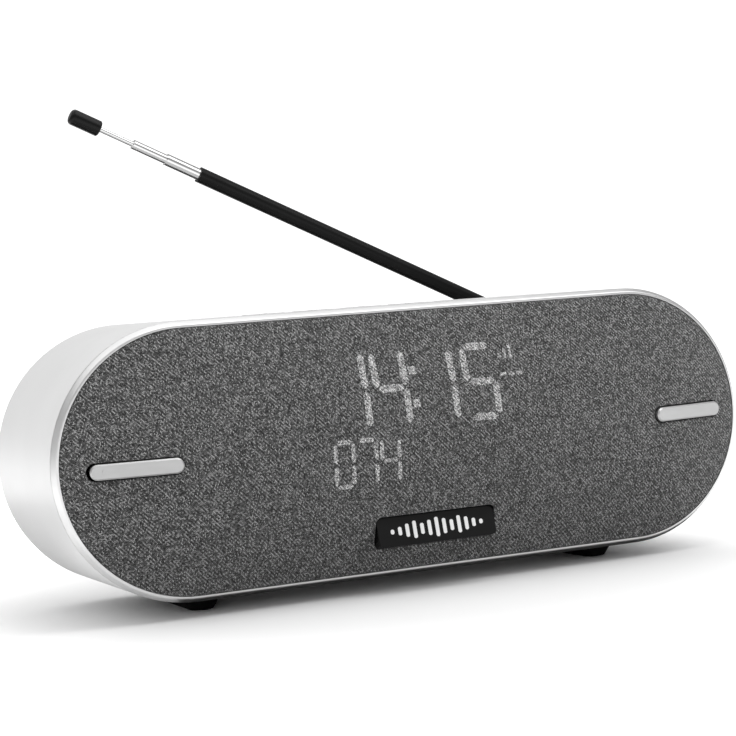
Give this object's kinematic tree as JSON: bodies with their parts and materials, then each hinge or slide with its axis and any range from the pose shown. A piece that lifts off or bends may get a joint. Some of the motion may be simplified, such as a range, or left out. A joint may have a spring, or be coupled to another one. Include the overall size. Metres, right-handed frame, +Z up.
{
  "type": "tabletop radio",
  "caption": "Stadium-shaped tabletop radio with crowned cloth front, silver bars, feet, top buttons and a swivelling telescopic aerial.",
  "frame": {"origin": "bottom centre of the whole radio, aerial included, on the table", "axes": "+X to the radio's right seen from the front, -Y towards the listener, +Z up"},
  "size_m": [0.288, 0.105, 0.1943],
  "materials": {
    "case_white": "satin, fine moulded texture",
    "bezel_silver": "satin silver",
    "grille_cloth": "melange twill, dark and light grey threads",
    "badge_black": "gloss black",
    "print_white": "printed",
    "inner_plastic": "black ABS",
    "diffuser": "milky",
    "led": "white LED light bars",
    "circuit_board": "green solder mask",
    "tinned_steel": "tin plated",
    "sink_aluminium": "bare",
    "capacitor_sleeve": "shrink sleeve",
    "socket_black": "black",
    "foot_rubber": "soft black rubber",
    "screw_steel": "zinc plated",
    "ribbon": "flat cable",
    "wire": "insulated lead",
    "aerial_metal": "bright nickel and chrome",
    "aerial_black": "black satin lacquer",
    "tip_black": "black",
    "basket": "black",
    "surround": "rubber roll",
    "cone_paper": "pressed paper",
    "spider_cloth": "resin-dipped cloth",
    "coil": "enamelled copper on a paper former",
    "ferrite": "sintered ferrite"
  },
  "bodies": {
    "root": {"case_sleeve": "case_white", "front_bezel": "bezel_silver", "grille_frame": "inner_plastic", "grille_cloth": "grille_cloth", "trim_bar_left": "bezel_silver", "trim_bar_right": "bezel_silver", "badge_plate": "badge_black", "badge_emblem": "print_white", "front_baffle": "inner_plastic", "display_diffuser": "diffuser", "display_board": "circuit_board", "display_leds": "led", "rear_cover": "case_white", "main_board": "circuit_board", "tuner_can": "tinned_steel", "heat_sink": "sink_aluminium", "capacitors": "capacitor_sleeve", "power_socket": "tinned_steel", "aux_socket": "socket_black", "headphone_socket": "socket_black", "control_board": "circuit_board", "tact_switches": "tinned_steel", "rubber_feet": "foot_rubber", "case_screws": "screw_steel", "board_screws": "screw_steel", "speaker_screws": "screw_steel", "ribbon_cable": "ribbon", "speaker_wires": "wire", "antenna_bush": "tip_black", "speaker_left_basket": "basket", "speaker_left_surround": "surround", "speaker_left_spider": "spider_cloth", "speaker_left_top_plate": "tinned_steel", "speaker_left_magnet": "ferrite", "speaker_left_yoke": "tinned_steel", "speaker_right_basket": "basket", "speaker_right_surround": "surround", "speaker_right_spider": "spider_cloth", "speaker_right_top_plate": "tinned_steel", "speaker_right_magnet": "ferrite", "speaker_right_yoke": "tinned_steel"},
    "key_power": {"button_power": "case_white"},
    "key_source": {"button_source": "case_white"},
    "key_volume_down": {"button_volume_down": "case_white"},
    "key_volume_up": {"button_volume_up": "case_white"},
    "key_preset": {"button_preset": "case_white"},
    "left_driver": {"speaker_left_cone": "cone_paper", "speaker_left_dust_cap": "cone_paper", "speaker_left_voice_coil": "coil"},
    "right_driver": {"speaker_right_cone": "cone_paper", "speaker_right_dust_cap": "cone_paper", "speaker_right_voice_coil": "coil"},
    "aerial_swivel": {"antenna_swivel": "aerial_metal", "antenna_clip": "aerial_metal", "antenna_pin": "aerial_metal"},
    "aerial_tube": {"antenna_tube": "aerial_black"},
    "aerial_stage_1": {"antenna_stage_1": "aerial_metal"},
    "aerial_stage_2": {"antenna_stage_2": "aerial_metal"},
    "aerial_stage_3": {"antenna_stage_3": "aerial_metal", "antenna_tip": "tip_black"}
  },
  "joints": [
    {"name": "press_power", "type": "slide", "parent": "root", "child": "key_power", "axis": [0, 0, -1], "range_m": [0, 0.0005], "stiffness_N_per_m": 1500, "springref_m": -0.0002},
    {"name": "press_source", "type": "slide", "parent": "root", "child": "key_source", "axis": [0, 0, -1], "range_m": [0, 0.0005], "stiffness_N_per_m": 1500, "springref_m": -0.0002},
    {"name": "press_volume_down", "type": "slide", "parent": "root", "child": "key_volume_down", "axis": [0, 0, -1], "range_m": [0, 0.0005], "stiffness_N_per_m": 1500, "springref_m": -0.0002},
    {"name": "press_volume_up", "type": "slide", "parent": "root", "child": "key_volume_up", "axis": [0, 0, -1], "range_m": [0, 0.0005], "stiffness_N_per_m": 1500, "springref_m": -0.0002},
    {"name": "press_preset", "type": "slide", "parent": "root", "child": "key_preset", "axis": [0, 0, -1], "range_m": [0, 0.0005], "stiffness_N_per_m": 1500, "springref_m": -0.0002},
    {"name": "left_cone_travel", "type": "slide", "parent": "root", "child": "left_driver", "axis": [0, -1, 0], "range_m": [-0.001, 0.001], "stiffness_N_per_m": 1200, "deforming": ["speaker_left_surround", "speaker_left_spider"]},
    {"name": "right_cone_travel", "type": "slide", "parent": "root", "child": "right_driver", "axis": [0, -1, 0], "range_m": [-0.001, 0.001], "stiffness_N_per_m": 1200, "deforming": ["speaker_right_surround", "speaker_right_spider"]},
    {"name": "aerial_turn", "type": "hinge", "parent": "root", "child": "aerial_swivel", "pos_m": [0.11, 0.0485, 0.0885], "axis": [0, 1, 0], "range_deg": [-26, 154]},
    {"name": "aerial_tilt", "type": "hinge", "parent": "aerial_swivel", "child": "aerial_tube", "pos_m": [0.11, 0.0485, 0.0885], "axis": [-0.4384, 0, -0.8988], "range_deg": [0, 90]},
    {"name": "aerial_pull_1", "type": "slide", "parent": "aerial_tube", "child": "aerial_stage_1", "axis": [-0.8988, 0, 0.4384], "range_m": [-0.015, 0.11]},
    {"name": "aerial_pull_2", "type": "slide", "parent": "aerial_stage_1", "child": "aerial_stage_2", "axis": [-0.8988, 0, 0.4384], "range_m": [-0.015, 0.11]},
    {"name": "aerial_pull_3", "type": "slide", "parent": "aerial_stage_2", "child": "aerial_stage_3", "axis": [-0.8988, 0, 0.4384], "range_m": [-0.0147, 0.11]}
  ]
}
